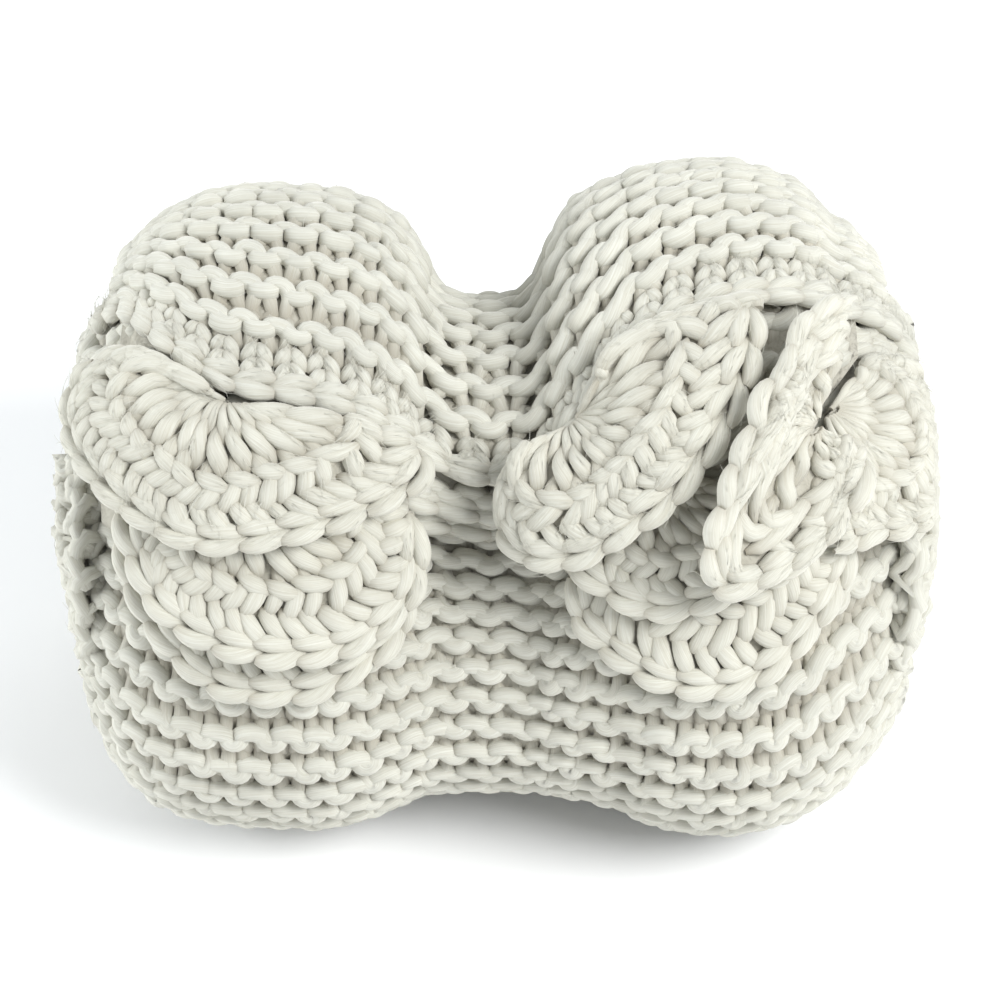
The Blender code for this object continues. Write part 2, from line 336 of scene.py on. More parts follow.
# Colours, as linear red, green and blue
YARN_SHADE = (0.48, 0.46, 0.385)
YARN_LIGHT = (0.62, 0.62, 0.56)
CROCHET_TINT = (1.0, 0.995, 0.985)
CREASE = (0.27, 0.235, 0.175)
CREASE_STRENGTH = 0.6
SHEEN_TINT = (1, 0.97, 0.9)
# The yarn deep in the cloth, in darker tones that paint the shade in the gaps between the strands on top
BACKING = (0.48, 0.46, 0.39)
BACKING_SHADES = ((0.36, 0.34, 0.28), (0.52, 0.50, 0.43))
FLOOR = (0.92, 0.92, 0.915)
SKY = (0.97, 1.0, 1.03)

# Soft round lights: place, width in metres, watts and colour
LIGHTS = {
    "key": ((1.1, -0.9, 1.65), 1.0, 43.0, (0.98, 0.99, 1.0)),
    "fill": ((-1.7, -0.3, 0.9), 1.2, 13.0, (0.97, 1.0, 1.02)),
    "left": ((-1.5, 0.2, 0.4), 1.0, 10.0, (0.97, 1.0, 1.02)),
    "rim": ((0.9, 1.4, 1.1), 1.2, 9.0, (0.93, 0.97, 1.0)),
}

# The camera's distance, and the width in metres that it sees there
DISTANCE = 1.5
VIEW_WIDTH = 0.47
SENSOR = 36  # mm


def lengths(path):
    """The length along a path of points up to each of them."""
    return np.concatenate([[0], np.cumsum(np.linalg.norm(np.diff(path, axis=0), axis=1))])


def eased(value, low, high):
    """0 below low, 1 above high, and a smooth rise between them."""
    share = np.clip((np.asarray(value, float) - low) / (high - low), 0, 1)
    return share * share * (3 - 2 * share)


def curve(knots, values, at):
    """Values at the places at, on a smooth curve through the knots that never overshoots them."""
    knots, values, at = (np.asarray(a, float) for a in (knots, values, at))
    width = np.diff(knots)
    slope = np.diff(values) / width
    before, after = slope[:-1], slope[1:]
    inner = np.where(before * after > 0, 2 * before * after / (before + after + 1e-12), 0)
    tangent = np.concatenate([slope[:1], inner, slope[-1:]])
    k = np.clip(np.searchsorted(knots, at) - 1, 0, len(width) - 1)
    t = np.clip((at - knots[k]) / width[k], 0, 1)
    start = (1 + 2 * t) * (1 - t) ** 2 * values[k] + t * (1 - t) ** 2 * width[k] * tangent[k]
    end = t * t * (3 - 2 * t) * values[k + 1] + t * t * (t - 1) * width[k] * tangent[k + 1]
    return start + end


X, RISES, FALLS = PROFILE.T * MM
RUNS = np.concatenate([[0], np.cumsum(np.hypot(np.diff(X), np.diff((RISES + FALLS) / 2)))])
TOP_RADIUS = float(np.max(RISES))
FINE_RUNS = np.linspace(0, RUNS[-1], 2000)
FINE_X = curve(RUNS, X, FINE_RUNS)


def run_at(x):
    """The run at which the outline passes a place along X."""
    return np.interp(x, FINE_X, FINE_RUNS)


def outline(run, turn):
    """(x, radius) of the smooth outer surface, in metres."""
    rise, fall = curve(RUNS, RISES, run), curve(RUNS, FALLS, run)
    mean = (rise + fall) / 2
    angle = np.radians(turn)
    up = np.where(np.cos(angle) > 0, rise, fall)
    out = np.where(np.sin(angle) > 0, FRONT_SHARE * mean, BACK_SHARE * mean)
    radius = 1 / np.hypot(np.cos(angle) / np.maximum(up, 1e-7), np.sin(angle) / np.maximum(out, 1e-7))
    return curve(RUNS, X, run), radius


def fading(turn):
    """How much of the step at the outer end is left: 1 at the end itself, 0 round at the floor."""
    return 1 - eased(np.mod(turn, 360), *FADE)


def edge(name, run):
    """The turn at which a third of the cloth ends."""
    x = curve(RUNS, X, run) / MM
    if name == "outer":
        return curve(EDGES[:, 0], EDGES[:, 1], x)
    middle = curve(EDGES[:, 0], EDGES[:, 2], x)
    return middle if name == "middle" else middle + INNER_EDGE


def past(turn, limit):
    """The turn itself, or where that lies short of the limit a place just past it."""
    gap = turn - limit
    near = EDGE_CLEARANCE * (1 + np.exp(np.minimum(gap / EDGE_CLEARANCE - 2, 0)))
    return limit + np.where(gap > 2 * EDGE_CLEARANCE, gap, near)


def place(x, radius, turn):
    """The point at that x, radius and turn, kept above the floor."""
    angle = np.radians(turn)[..., None]
    radius, x = np.asarray(radius)[..., None], np.asarray(x)[..., None]
    point = CENTRE + x * np.array([1, 0, 0]) + radius * (np.cos(angle) * RISE + np.sin(angle) * FRONT)
    point[..., 2] = np.maximum(point[..., 2], 0)
    return point


def end_groove(radius, turn, run):
    """How far the groove between two turns of the roll presses an end in, towards the middle, and
    the phase there: the number of turns from the outermost one, so that grooves are at whole ones."""
    full = outline(np.full_like(radius, run_at(THICKEST[0])), turn)[1]
    phase = (1 - radius / full) * TOP_RADIUS / WOUND_PITCH - (EDGE_MIDDLE - turn) / 360
    phase = np.where(np.abs(run - RUNS[-1] / 2) < WAIST, 0.0, phase)
    depth = GROOVE_DEPTH * (1 - np.abs(np.sin(np.pi * phase))) * eased(phase, 0.6, 1.0)
    return depth * np.where(run < RUNS[-1] / 2, 1, -1), phase


def cloth(run, turn, below):
    """A point on the cloth, so many thirds below the outer surface."""
    x, radius = outline(run, turn)
    full = eased(radius, *DOME_RADIUS)
    return place(x, radius - full * below * LAYER, turn)


def grooved_cloth(run, turn, below):
    """The same, with the grooves in the roll's ends."""
    x, radius = outline(run, turn)
    inward = end_groove(radius, turn, run)[0]
    full = eased(radius, *DOME_RADIUS)
    return place(x + inward, radius - full * below * LAYER, turn)


def under_scallops(run, turn):
    """A point on the turn of cloth that lies under the stepped thirds."""
    return cloth(run, turn, LAYERS * fading(turn))


def square_to(surface, run, turn):
    """The outward direction square to a surface of run and turn."""
    along = surface(run + 2 * MM, turn) - surface(run - 2 * MM, turn)
    across = surface(run, turn + 1) - surface(run, turn - 1)
    square = np.cross(across, along)
    return square / np.maximum(np.linalg.norm(square, axis=-1, keepdims=True), 1e-12)


def seat(run, turn, lift):
    """A point so far above the previous turn of cloth, square to it."""
    square = square_to(under_scallops, run, turn)
    angle = np.radians(turn)[..., None]
    square = square + np.cos(angle) * RISE + np.sin(angle) * FRONT
    square /= np.linalg.norm(square, axis=-1, keepdims=True)
    return under_scallops(run, turn) + np.asarray(lift)[..., None] * square


# Yarn


class Yarn:
    """Strands of round yarn that become one mesh."""

    def __init__(self, name):
        self.name = name
        self.strands = []
        self.tucked = []

    def add(self, path, radius, tucked=0.0):
        """One strand along the path, an array of points, as thick as radius says at each point.
        tucked is 0 where it lies open and 1 where it goes in between its neighbours."""
        path = np.asarray(path, float)
        if len(path) > 1:
            self.strands.append((path, np.broadcast_to(radius, len(path))))
            self.tucked.append(np.broadcast_to(tucked, len(path)))

    def build(self, material, sides=SIDES):
        """The finished piece. Its UV map runs in metres along each strand and once round it."""
        bevelled = bpy.data.curves.new(self.name, "CURVE")
        bevelled.dimensions = "3D"
        bevelled.bevel_depth = 1.0
        bevelled.bevel_resolution = (sides - 4) // 2
        bevelled.use_fill_caps = True
        bevelled.twist_mode = "MINIMUM"
        for path, radius in self.strands:
            spline = bevelled.splines.new("POLY")
            spline.points.add(len(path) - 1)
            spline.points.foreach_set("co", np.column_stack([path, np.ones(len(path))]).ravel())
            spline.points.foreach_set("radius", np.array(radius, float))
        holder = bpy.data.objects.new(self.name + "_line", bevelled)
        bpy.context.scene.collection.objects.link(holder)
        ready = bpy.context.evaluated_depsgraph_get()
        mesh = bpy.data.meshes.new_from_object(holder.evaluated_get(ready))
        bpy.data.objects.remove(holder)
        mesh.name = self.name
        self.measure_uv(mesh, sides)
        along = np.repeat(np.concatenate(self.tucked), sides)
        ends = np.ones(len(mesh.vertices) - len(along))
        shade = mesh.attributes.new("tucked", "FLOAT", "POINT")
        shade.data.foreach_set("value", np.concatenate([ends, along]))
        mesh.shade_smooth()
        mesh.materials.clear()
        mesh.materials.append(material)
        piece = bpy.data.objects.new(self.name, mesh)
        bpy.context.scene.collection.objects.link(piece)
        return piece

    def measure_uv(self, mesh, sides):
        """Turns the share along each strand into metres, starting at a random length."""
        uv = np.zeros(len(mesh.loops) * 2)
        layer = mesh.uv_layers[0].data
        layer.foreach_get("uv", uv)
        uv = uv.reshape(-1, 2)
        # The corners of the end caps come first, and then four for each face along the strands
        at = len(uv) - sum((len(path) - 1) * sides * 4 for path, _ in self.strands)
        for path, _ in self.strands:
            count = (len(path) - 1) * sides * 4
            share = uv[at:at + count, 0] * (len(path) - 1)
            metres = np.interp(share, np.arange(len(path)), lengths(path))
            uv[at:at + count, 0] = metres + RNG.uniform(0, 40)
            at += count
        layer.foreach_set("uv", uv.ravel())


def wander(count, size, at):
    """A random line with a new value at each whole number, read at the places at."""
    knots = np.arange(count + 2)
    return np.interp(at, knots, RNG.normal(0, size, len(knots)))


def pieces_of(keep):
    """The stretches of consecutive true values that are long enough for a strand, as slices."""
    changes = np.flatnonzero(np.diff(np.concatenate([[0], keep.astype(int), [0]])))
    return [slice(a, b) for a, b in zip(changes[::2], changes[1::2]) if b - a >= SHORTEST]


def tapering(part):
    """Factors that thin a strand towards both ends of a stretch, one for each of its points."""
    count = part.stop - part.start
    from_end = np.minimum(np.arange(count), np.arange(count)[::-1])
    return np.clip(0.5 + 0.3 * from_end, 0, 1)


# One stitch is sampled more closely where its strand lies at the front
FRONT_SAMPLES = np.array([0, 0.04, 0.08, 0.12, 0.16, 0.20, 0.25, 0.34, 0.5])
STITCH_SAMPLES = np.concatenate([FRONT_SAMPLES, 1 - FRONT_SAMPLES[1:-1][::-1]])


def garter_strand(purl, first, last, slant):
    """One row of the knit as (along, across, depth, radius, tucked), in mm, from stitch first to last.
    A knit row has its loops' tops at the front, and a purl row has its loops' feet there."""
    whole = np.arange(first, last)
    place_in_row = (whole[:, None] + STITCH_SAMPLES[None, :]).ravel()
    stitch = place_in_row + (0 if purl else 0.5)
    at = place_in_row - first
    count = len(whole)
    phase = 2 * np.pi * stitch
    front = np.cos(phase) * (1 if purl else -1)
    fullness = 1 + wander(count, UNEVEN_SIZE, at)
    bulge = LOOP_BULGES[purl] * (1 + wander(count, UNEVEN_BULGE, at))
    along = STITCH * stitch + bulge * np.sin(2 * phase) + wander(count, STRAY_ALONG, at)
    across = -LOOP_HEIGHTS[purl] * np.cos(phase) * (1 + wander(count, UNEVEN_SIZE, at))
    across = across + wander(count, STRAY_ACROSS, at)
    # Each front loop slants as a whole, from its own middle
    bump = stitch - np.round(stitch) if purl else stitch - np.floor(stitch) - 0.5
    tilt = LOOP_SLANTS[purl] * slant(STITCH * stitch) + wander(count, UNEVEN_SLANT, at)
    across = across + tilt * STITCH * bump * np.clip(front + 0.25, 0, 1)
    forward = front * (1.0 if purl else KNIT_FORWARD)
    depth = KNIT_DEPTH * forward + wander(count, STRAY_DEPTH, at)
    radius = TIGHT + (STRAND - TIGHT) * eased(front, 0.0, 0.8) * (1 if purl else KNIT_SWELL)
    tucked = eased(front, 0.75, -0.5)
    return along, across, depth, radius * fullness, tucked


SLANTS = np.array([
    # x in mm, rise of each front loop over its width
    (-205, 0.35),
    (-170, 0.22),
    (-145, 0.0),
    (-110, -0.22),
    (-60, -0.34),
    (-20, -0.30),
    (0, 0.0),
    (20, 0.32),
    (60, 0.36),
    (110, 0.24),
    (150, 0.0),
    (200, -0.25),
])
WAIST_RUN = float(run_at(-0.01))


def slant_at(along):
    """The slant of the loops so many mm along a row from the waist."""
    x = np.interp(WAIST_RUN + along * MM, FINE_RUNS, FINE_X) / MM
    return np.interp(x, SLANTS[:, 0], SLANTS[:, 1])


def row_turn(nominal, outer, inner):
    """Where a row of the knit runs: parallel to the outer edge near it, and straight elsewhere."""
    pull = eased(nominal, RELAXED, EDGE_MIDDLE) * (outer - EDGE_MIDDLE)
    hold = eased(-nominal, 360 - BASE_RELAXED, 360 - BASE_START) * (inner - BASE_START + 1.5)
    return nominal + pull + hold


DEGREES_PER_MM = np.degrees(MM / TOP_RADIUS)


def knit_row(yarn, nominal, purl, below=None, keep=None):
    """A row right across the roll, at a nominal turn or along a line: a function that gives the turn
    at each run, with the third of the cloth below which the row lies. keep says where it shows."""
    half = int(HALF_ROW / (STITCH * MM))
    along, across, depth, radius, tucked = garter_strand(purl, -half, half, slant_at)
    run = WAIST_RUN + along * MM
    inside = (run > ROW_MARGIN) & (run < RUNS[-1] - ROW_MARGIN)
    run = np.clip(run, ROW_MARGIN, RUNS[-1] - ROW_MARGIN)
    if callable(nominal):
        turn = nominal(run) - across * DEGREES_PER_MM
        lower = np.full_like(turn, below)
    else:
        turn = row_turn(nominal - across * DEGREES_PER_MM, edge("outer", run), edge("inner", run))
        lower = LAYERS * fading(turn) if nominal < LOWERED else np.zeros_like(turn)

    def surface(r, t):
        return grooved_cloth(r, t, lower)

    _, ring = outline(run, turn)
    tucked = tucked * eased(ring, *CREASE_RINGS)
    phase = end_groove(ring, turn, run)[1]
    fits = inside & (phase < 1 + GROOVE_MARGIN)
    if keep is not None:
        fits = fits & keep(run, turn)
    point = surface(run, turn) + ((depth - SINK) * MM)[:, None] * square_to(surface, run, turn)
    point[:, 2] = np.maximum(point[:, 2], radius * MM)
    for part in pieces_of(fits):
        yarn.add(point[part], radius[part] * tapering(part) * MM, tucked[part])


def beside_edge(run, turn):
    """Where a row lies past the two ends of the outer edge's own row."""
    return (run < run_at(CAST_OFF_SPAN[0])) | (run > run_at(CAST_OFF_SPAN[1]))


def knit_outside():
    """The rows of the outermost turn, from the outer edge back round the roll to the same place."""
    pitch = RIDGE_PITCH / MM * DEGREES_PER_MM
    ridges = int(round((EDGE_MIDDLE + 360 - BASE_START) / pitch))
    groups = [Yarn(f"knit_rows_{k + 1}") for k in range(ROW_GROUPS)]
    for k in range(ridges):
        crest = EDGE_MIDDLE - (k + 0.5) * pitch
        yarn = groups[k * len(groups) // ridges]
        keep = None if k else beside_edge
        knit_row(yarn, crest - pitch / 4, True, keep=keep)
        knit_row(yarn, crest + pitch / 4, False, keep=keep)
    return groups


def knit_steps():
    """The rows that show on the middle and inner thirds, where the outer third ends short of them."""
    yarn = Yarn("knit_steps")
    pitch = RIDGE_PITCH / MM * DEGREES_PER_MM
    thirds = (("middle", "outer", 1, STEP_RIDGES, 1.5), ("inner", "middle", 2, 1, 2.5))
    for name, above, below, ridges, hidden in thirds:
        for k in range(ridges):
            for purl in (True, False):
                offset = (k + 0.5) * pitch + (pitch / 4 if purl else -pitch / 4)
                knit_row(yarn, lambda run: edge(name, run) - offset, purl, below,
                         lambda run, turn: turn > edge(above, run) - hidden)
    return yarn


def edge_line(name):
    """The line of an edge of the cloth, for a chain: a function of the place along it, an offset
    towards the end and a height, all in mm, with the line's length."""
    below = THIRDS.index(name)
    runs = np.linspace(run_at(CHAIN_SPAN[0]), run_at(CHAIN_SPAN[1]), 300)
    along = lengths(cloth(runs, edge(name, runs), below)) / MM

    def line(at, off, rise):
        run = np.interp(at, along, runs)
        turn = edge(name, run) + (off - EDGE_INSET) * DEGREES_PER_MM

        def surface(r, t):
            return cloth(r, t, below)

        height = (rise - SINK + EDGE_RISE)[:, None] * MM
        return surface(run, turn) + height * square_to(surface, run, turn)

    return line, along[-1]


def cast_off(name):
    """The end of a third of the cloth: a chain, and above the outer third's two tiers of plump
    V stitches."""
    yarn = Yarn(name + "_edge")
    line, length = edge_line(name)
    chain(yarn, line, length, 0.0)
    if name == "outer":
        for k in range(int(length / STITCH)):
            for side in (-1, 1):
                for tier in (0, 1):
                    share, swell = leaf(9, 0.45)
                    at = (k + 0.5) * STITCH + side * (1.0 + VEE_SPREAD * share) + RNG.normal(0, 0.4)
                    up = -2.5 - VEE_TIER * tier - VEE_HEIGHT * share
                    rise = -0.8 - 1.2 * tier + 2.0 * swell
                    points = line(np.clip(at, 0, length), up, rise)
                    # Each V gets painted crease shade at its pinched tips
                    yarn.add(points, VEE_RADIUS * swell * MM, 1.6 - 1.6 * swell)
    return yarn


def end_surface(side):
    """The end of the roll as a surface of how far it is wound in, in turns, and a share across
    one turn of the cloth. side is -1 for the left end and 1 for the right end."""
    crest = float(run_at(THICKEST[0] if side < 0 else THICKEST[1]))
    runs = FINE_RUNS[FINE_RUNS < crest] if side < 0 else FINE_RUNS[FINE_RUNS > crest][::-1]
    mean = curve(RUNS, (RISES + FALLS) / 2, runs)
    shares = mean / mean[-1]

    def surface(turn, phase):
        depth = WOUND_PITCH * (phase + (EDGE_MIDDLE - turn) / 360)
        share = np.clip(1 - depth / TOP_RADIUS, 0.01, 1)
        run = np.interp(share, shares, runs)
        x, radius = outline(run, turn)
        inward = GROOVE_DEPTH * (1 - np.abs(np.sin(np.pi * phase)))
        return place(x - side * inward, radius, turn)

    return surface


def knit_end(side, name):
    """Rows across the inner turns of the cloth, where they show on an end of the roll."""
    yarn = Yarn(name)
    surface = end_surface(side)
    turn = EDGE_MIDDLE - 6.0
    purl = True
    while True:
        middle = TOP_RADIUS - WOUND_PITCH * (1.5 + (EDGE_MIDDLE - turn) / 360)
        if middle < INNERMOST:
            break
        along, across, depth, radius, tucked = garter_strand(purl, -3, 4, lambda a: END_SLANT)
        phase = 1.5 + along / TURN_WIDTH
        at = turn + np.degrees(across * MM / max(middle, 0.02))
        fits = (phase > 1 - GROOVE_MARGIN) & (phase < 2 + GROOVE_MARGIN)
        step = 0.01
        out = surface(at, phase)
        square = np.cross(surface(at + 1, phase) - surface(at - 1, phase),
                          surface(at, phase + step) - surface(at, phase - step))
        square /= np.maximum(np.linalg.norm(square, axis=-1, keepdims=True), 1e-12)
        square *= np.sign(square[:, :1] * side + 1e-9)
        point = out + ((depth - SINK) * MM)[:, None] * square
        for part in pieces_of(fits):
            yarn.add(point[part], radius[part] * tapering(part) * MM, tucked[part])
        turn -= np.degrees(RIDGE_PITCH / 2 / max(middle, 0.018))
        purl = not purl
    return yarn


# Crochet


def scallop_surface(edge_name, x, crown, rays, turn=None, lift=None):
    """The under side of a scallop as a surface of ray, share of the reach and height above it in
    mm, with its lowest and highest ray and its reach along a ray. turn and lift give the centre
    of one that lies on no edge."""
    angles, reaches, lifts = np.array(rays, float).T
    order = np.argsort(angles)
    centre_run = run_at(x * MM)
    if edge_name is None:
        centre_turn, centre_lift = turn, lift * MM
    else:
        centre_turn = float(edge(edge_name, centre_run)) + 0.9
        centre_lift = (LAYERS - 1 - THIRDS.index(edge_name)) * LAYER + GAP
    centre = seat(np.array(centre_run), np.array(centre_turn), np.array(centre_lift + SHEET))
    round_the_roll = np.linalg.norm((centre - CENTRE)[1:])

    def reach(ray):
        return curve(angles[order], reaches[order], ray) * MM

    def surface(ray, share, height):
        ray, share = np.broadcast_arrays(np.asarray(ray, float), np.asarray(share, float))
        length = reach(ray)
        rim = curve(angles[order], lifts[order], ray) * MM
        runs = centre_run + share * length * np.cos(np.radians(ray))
        turns = centre_turn + np.degrees(share * length * np.sin(np.radians(ray)) / round_the_roll)
        if edge_name:
            turns = past(turns, edge(edge_name, runs))
        up = centre_lift + (rim - centre_lift) * eased(share, 0, 1) + crown * MM * np.sin(np.pi * share)
        return seat(runs, turns, up + np.asarray(height) * MM)

    return surface, float(angles.min()), float(angles.max()), reach


def leaf(count, tip=0.35):
    """Shares along a short stretch of yarn, and its swelling: pinched at its two ends."""
    share = np.linspace(0, 1, count)
    return share, tip + (1 - tip) * np.sin(np.pi * share) ** 0.8


def post(yarn, surface, ray, step, long):
    """One long stitch: two strands that wind round each other, growing wider outwards."""
    share = np.linspace(0, 1, 14)
    out = POST_START + (POST_END - POST_START) * share
    width = np.radians(step) * long * out / MM
    lean = RNG.normal(0, 0.12) * step * share
    lead = RNG.uniform(-0.5, 0.5)
    for side in (0, 1):
        angle = POST_TWIST * np.pi * share + np.pi * side + lead
        sway = np.minimum(0.27 * width, 3.0) * np.cos(angle)
        rise = np.minimum(0.30 * width, 2.2) * np.sin(angle)
        radius = np.clip(0.42 * width + 0.5, 1.3, 4.0) * (0.92 + 0.18 * np.sin(angle))
        radius[-1] *= 0.6
        rays = ray + lean + np.degrees(sway * MM / (long * out))
        # Painted crease shade near the centre and where a strand winds under the other
        tucked = np.maximum(0.7 - 3 * share, 0.45 - 0.45 * np.sin(angle)) + 0.4 * share ** 8
        yarn.add(surface(rays, out, LEVEL + rise - 1.2 * share ** 6), radius * MM, tucked)


def crochet_head(yarn, surface, ray, step, long):
    """The loop that closes a long stitch, lying along the ring of its neighbours."""
    share, swell = leaf(9, 0.15)
    length = max(step, np.degrees(HEAD_LENGTH * MM / (long * POST_END)))
    rays = ray + (share - 0.5) * length * 1.4
    out = POST_END + 0.07 - 0.10 * share + RNG.normal(0, 0.008)
    rise = LEVEL + 2.6 * swell - 0.2
    # Painted crease shade at the pinched tips
    yarn.add(surface(rays, out, rise), HEAD_RADIUS * swell * MM, 1.2 - 1.2 * swell)


def short_round(yarn, surface, low, high, reach):
    """The second round: two rows of short plump stitches that lean to opposite sides."""
    mean = float(np.mean(reach(np.linspace(low, high, 40))))
    for start, end, lean in SHORT_ROWS:
        middle = (start + end) / 2
        count = max(6, int(round(np.radians(high - low) * mean * middle / (SHORT_WIDTH * MM))))
        step = (high - low) / count
        for k in range(count):
            share, swell = leaf(8, 0.55)
            # The two tips are rounded off
            swell[[0, -1]] *= 0.55
            ray = low + step * (k + 0.5 + RNG.normal(0, 0.09))
            rays = ray + (lean + RNG.normal(0, 0.12)) * step * (share - 0.5)
            out = start + (end - start) * share + RNG.normal(0, 0.012)
            rise = LEVEL - 2.2 + 3.4 * swell + RNG.normal(0, 0.4)
            size = SHORT_RADIUS * (1 + RNG.normal(0, 0.07))
            # Painted crease shade at the pinched tips
            yarn.add(surface(rays, out, rise), size * swell * MM, 1.8 - 1.8 * swell)


def chain(yarn, line, length, first=-1.0):
    """A chain that runs for so many mm, with the place of its first link in links. line gives the
    point at a place along the chain, an offset to its side and a height, all in mm."""
    links = max(3, int(round(length / LINK)))
    pitch = length / links
    for k in range(links + 1):
        for side in (-1, 1):
            share = np.linspace(0, 1, 11)
            swell = 0.45 + 0.55 * np.sin(np.pi * share ** 1.2) ** 0.8 + 0.1 * share
            at = (k + first + 1.42 * share) * pitch + RNG.normal(0, 0.5)
            off = side * (-0.6 + 5.4 * np.sin(np.pi / 2 * share) - 1.2 * share ** 4) + RNG.normal(0, 0.2)
            rise = -2.8 + 5.4 * np.sin(np.pi * 0.62 * share) + 0.3 * side
            # The first and last links thin out where the chain ends
            ending = np.clip(np.minimum(at, length - at) / 7, 0.25, 1)
            radius = LINK_RADIUS * swell * ending * (1 + RNG.normal(0, 0.04))
            points = line(np.clip(at, 0, length), off, rise)
            # Painted crease shade at the pinched tips
            tucked = 1.5 - 1.5 * swell
            for part in pieces_of((at >= 0) & (at <= length)):
                yarn.add(points[part], radius[part] * MM, tucked[part])


def scallop(edge, posts, **form):
    """The surface of one of the SCALLOPS, its lowest and highest ray, its reach along a ray, and
    the angle that each of its long stitches takes up."""
    surface, low, high, reach = scallop_surface(edge, **form)
    return surface, low, high, reach, (high - low) / posts


def crochet(name, form):
    """The yarn of one scallop: long stitches round its centre, a short round and a chain as rim."""
    surface, low, high, reach, step = scallop(**form)
    yarn = Yarn(name + "_yarn")
    for k in range(form["posts"]):
        ray = low + step * (k + 0.5 + RNG.normal(0, 0.07))
        long = float(reach(ray))
        post(yarn, surface, ray, step, long)
        crochet_head(yarn, surface, ray, step, long)
    short_round(yarn, surface, low, high, reach)
    rays = np.linspace(low, high, 200)
    along = lengths(surface(rays, RIM, LEVEL)) / MM

    def line(at, off, rise):
        ray = np.interp(at, along, rays)
        return surface(ray, RIM + off * MM / reach(ray), LEVEL + rise)

    chain(yarn, line, along[-1])
    return yarn


def loose_fibres(yarns):
    """Fine fibres that stand off the outermost strands."""
    fluff = Yarn("loose_fibres")
    strands = [strand for yarn in yarns for strand in yarn.strands]
    share = np.linspace(0, 1, 5)
    while len(fluff.strands) < LOOSE:
        path, radius = strands[RNG.integers(len(strands))]
        at = RNG.integers(1, len(path) - 1)
        start = path[at]
        turn = np.degrees(np.arctan2((start - CENTRE) @ FRONT, (start - CENTRE) @ RISE))
        ring = float(outline(run_at(start[0]), turn)[1])
        off_axis = np.linalg.norm((start - CENTRE)[1:])
        if ring - off_axis > LOOSE_DEPTH * MM and abs(start[0]) < LOOSE_ENDS * MM:
            continue
        ahead = path[at + 1] - path[at - 1]
        ahead /= np.linalg.norm(ahead)
        out = (start - CENTRE) * (0.4, 1, 1)
        out = out / np.linalg.norm(out) + RNG.normal(0, 0.45, 3)
        out -= ahead * (out @ ahead)
        out /= np.linalg.norm(out)
        length, lift, bend = RNG.uniform(*LOOSE_LENGTH), RNG.uniform(*LOOSE_LIFT), RNG.normal(0, LOOSE_BEND)
        line = start + out * radius[at] * 0.97
        line = line + MM * (length * share[:, None] * ahead + lift * np.sin(2.4 * share)[:, None] * out)
        line = line + MM * bend * (share ** 2)[:, None] * np.cross(ahead, out)
        line[:, 2] = np.maximum(line[:, 2], 0.0003)
        fluff.add(line, (LOOSE_RADIUS - LOOSE_TAPER * share) * MM)
    return fluff


# Cloth under the yarn


def grid_piece(name, points, thickness, material):
    """A sheet of cloth through the points, an array of rows and columns, of even thickness."""
    rows, columns = points.shape[:2]
    bpy.ops.mesh.primitive_grid_add(x_subdivisions=columns - 1, y_subdivisions=rows - 1, size=2)
    piece = bpy.context.active_object
    piece.name = name
    piece.data.name = name
    flat = np.zeros(rows * columns * 3)
    piece.data.vertices.foreach_get("co", flat)
    flat = flat.reshape(-1, 3)
    column = np.rint((flat[:, 0] + 1) / 2 * (columns - 1)).astype(int)
    row = np.rint((flat[:, 1] + 1) / 2 * (rows - 1)).astype(int)
    piece.data.vertices.foreach_set("co", points[row, column].ravel())
    piece.data.update()
    solidify = piece.modifiers.new("thickness", "SOLIDIFY")
    solidify.thickness = thickness
    solidify.offset = 0
    solidify.use_even_offset = False
    piece.data.shade_smooth()
    piece.data.materials.append(material)
    return piece


